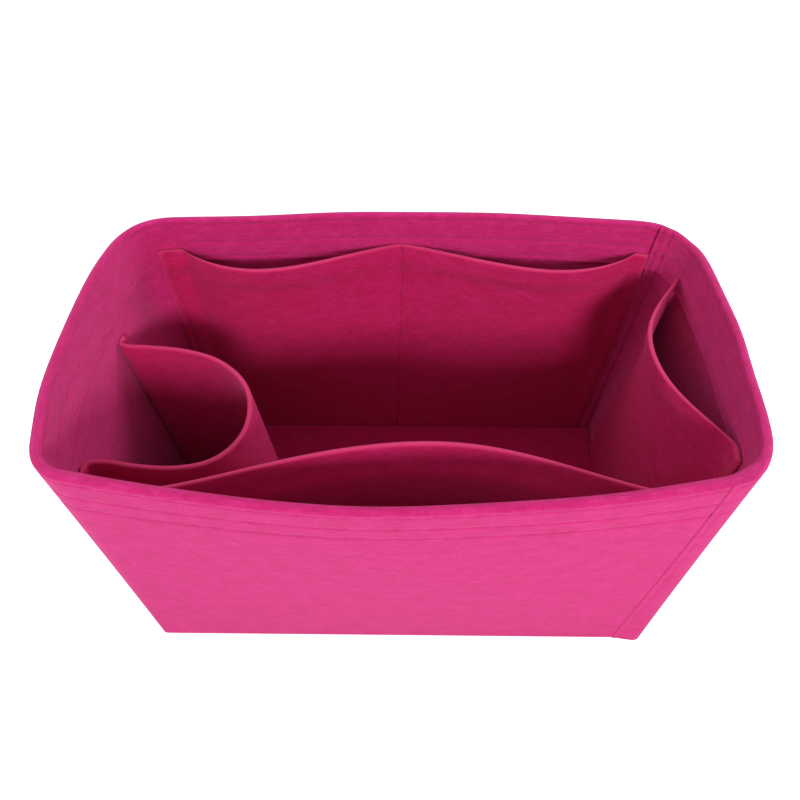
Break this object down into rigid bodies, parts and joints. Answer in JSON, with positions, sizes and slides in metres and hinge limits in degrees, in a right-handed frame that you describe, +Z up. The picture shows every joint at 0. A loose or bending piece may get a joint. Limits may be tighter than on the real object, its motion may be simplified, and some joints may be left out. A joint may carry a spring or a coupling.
{
  "type": "purse organizer insert",
  "caption": "Open felt organizer insert for a handbag, with bulged slip pockets, a bottle loop, a stitched rim band and zipped patch pockets.",
  "frame": {"origin": "centre of the base panel's underside, on the surface that the insert stands on", "axes": "+X to the right along the long side, +Y from the front to the back, +Z up to the open rim"},
  "size_m": [0.3539, 0.2163, 0.2],
  "materials": {
    "wall_felt": "dense needle felt, fuzzy and matte",
    "inner_felt": "dense needle felt, fuzzy and matte, deeper in the shade",
    "band_felt": "dense needle felt with rows of stitches",
    "zip_tape": "woven polyester tape",
    "zip_teeth": "moulded, satin",
    "zip_metal": "bright nickel plate"
  },
  "bodies": {
    "organizer": {"base_panel": "inner_felt", "wall_wrap": "wall_felt", "right_wall": "wall_felt", "rim_band_main": "band_felt", "rim_band_right": "band_felt", "front_pocket_panel": "inner_felt", "back_pocket_panel": "inner_felt", "right_pocket_panel": "inner_felt", "bottle_loop": "inner_felt", "back_zip_patch": "inner_felt", "back_zip_tape_upper": "zip_tape", "back_zip_tape_lower": "zip_tape", "back_zip_teeth_upper": "zip_teeth", "back_zip_teeth_lower": "zip_teeth", "back_zip_top_stop_upper": "zip_metal", "back_zip_top_stop_lower": "zip_metal", "back_zip_bottom_stop": "zip_metal", "front_zip_patch": "inner_felt", "front_zip_tape_upper": "zip_tape", "front_zip_tape_lower": "zip_tape", "front_zip_teeth_upper": "zip_teeth", "front_zip_teeth_lower": "zip_teeth", "front_zip_top_stop_upper": "zip_metal", "front_zip_top_stop_lower": "zip_metal", "front_zip_bottom_stop": "zip_metal"},
    "back_zip_slider": {"back_zip_slider": "zip_metal"},
    "back_zip_link": {"back_zip_pull_link": "zip_metal"},
    "back_zip_tab": {"back_zip_pull_tab": "zip_metal"},
    "front_zip_slider": {"front_zip_slider": "zip_metal"},
    "front_zip_link": {"front_zip_pull_link": "zip_metal"},
    "front_zip_tab": {"front_zip_pull_tab": "zip_metal"}
  },
  "joints": [
    {"name": "back_zip_slide", "type": "hinge", "parent": "organizer", "child": "back_zip_slider", "pos_m": [0, -2.08689, 0.148], "axis": [0, 0, 1], "range_deg": [0, 4.73]},
    {"name": "back_zip_link_swing", "type": "hinge", "parent": "back_zip_slider", "child": "back_zip_link", "pos_m": [0.09041, 0.1017, 0.14762], "axis": [0.9991, -0.0413, 0], "range_deg": [-4, 165]},
    {"name": "back_zip_tab_swing", "type": "hinge", "parent": "back_zip_link", "child": "back_zip_tab", "pos_m": [0.09041, 0.1017, 0.13885], "axis": [0.0413, 0.9991, 0], "range_deg": [-40, 40]},
    {"name": "front_zip_slide", "type": "hinge", "parent": "organizer", "child": "front_zip_slider", "pos_m": [0, 0.83704, 0.148], "axis": [0, 0, -1], "range_deg": [0, 8.42]},
    {"name": "front_zip_link_swing", "type": "hinge", "parent": "front_zip_slider", "child": "front_zip_link", "pos_m": [0.06845, -0.0926, 0.14895], "axis": [0.9973, 0.0734, 0], "range_deg": [-1.5, 16]},
    {"name": "front_zip_tab_swing", "type": "hinge", "parent": "front_zip_link", "child": "front_zip_tab", "pos_m": [0.06845, -0.0926, 0.14019], "axis": [-0.0734, 0.9973, 0], "range_deg": [-40, 40]}
  ]
}
